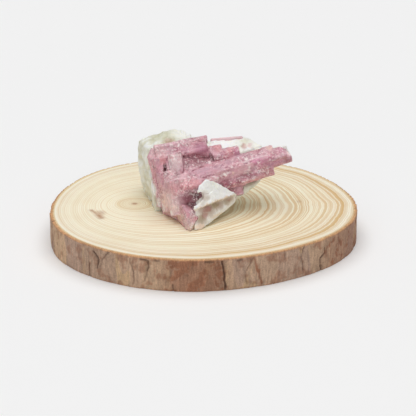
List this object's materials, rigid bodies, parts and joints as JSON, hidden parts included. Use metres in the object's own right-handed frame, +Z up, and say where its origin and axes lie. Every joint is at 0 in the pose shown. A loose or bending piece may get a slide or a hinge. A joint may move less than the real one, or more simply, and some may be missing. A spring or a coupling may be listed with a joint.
{
  "type": "pink tourmaline specimen on a wood slice",
  "caption": "Rough pink tourmaline crystals grown in pale quartz, resting on a flat round slice of a pine branch with its bark.",
  "frame": {"origin": "centre of the wood slice's underside, at the middle of the whole part's box", "axes": "+X along the width, towards the long crystal's free end; -Y towards the front of the picture; +Z up"},
  "size_m": [0.0984, 0.0962, 0.0329],
  "materials": {
    "pine_wood": "sawn and sanded, bare",
    "pine_bark": "rough bark",
    "quartz": "broken, sugary, slightly translucent",
    "feldspar": "broken, bright white",
    "tourmaline": "rough, glassy, finely streaked along the crystals"
  },
  "bodies": {
    "root": {"wood_slice": "pine_wood", "bark": "pine_bark", "quartz_matrix": "quartz", "white_block": "feldspar", "tourmaline_long": "tourmaline", "tourmaline_lower": "tourmaline", "tourmaline_upper_left": "tourmaline", "tourmaline_stub": "tourmaline", "tourmaline_back": "tourmaline", "tourmaline_cluster": "tourmaline", "tourmaline_sliver": "tourmaline"}
  },
  "joints": []
}
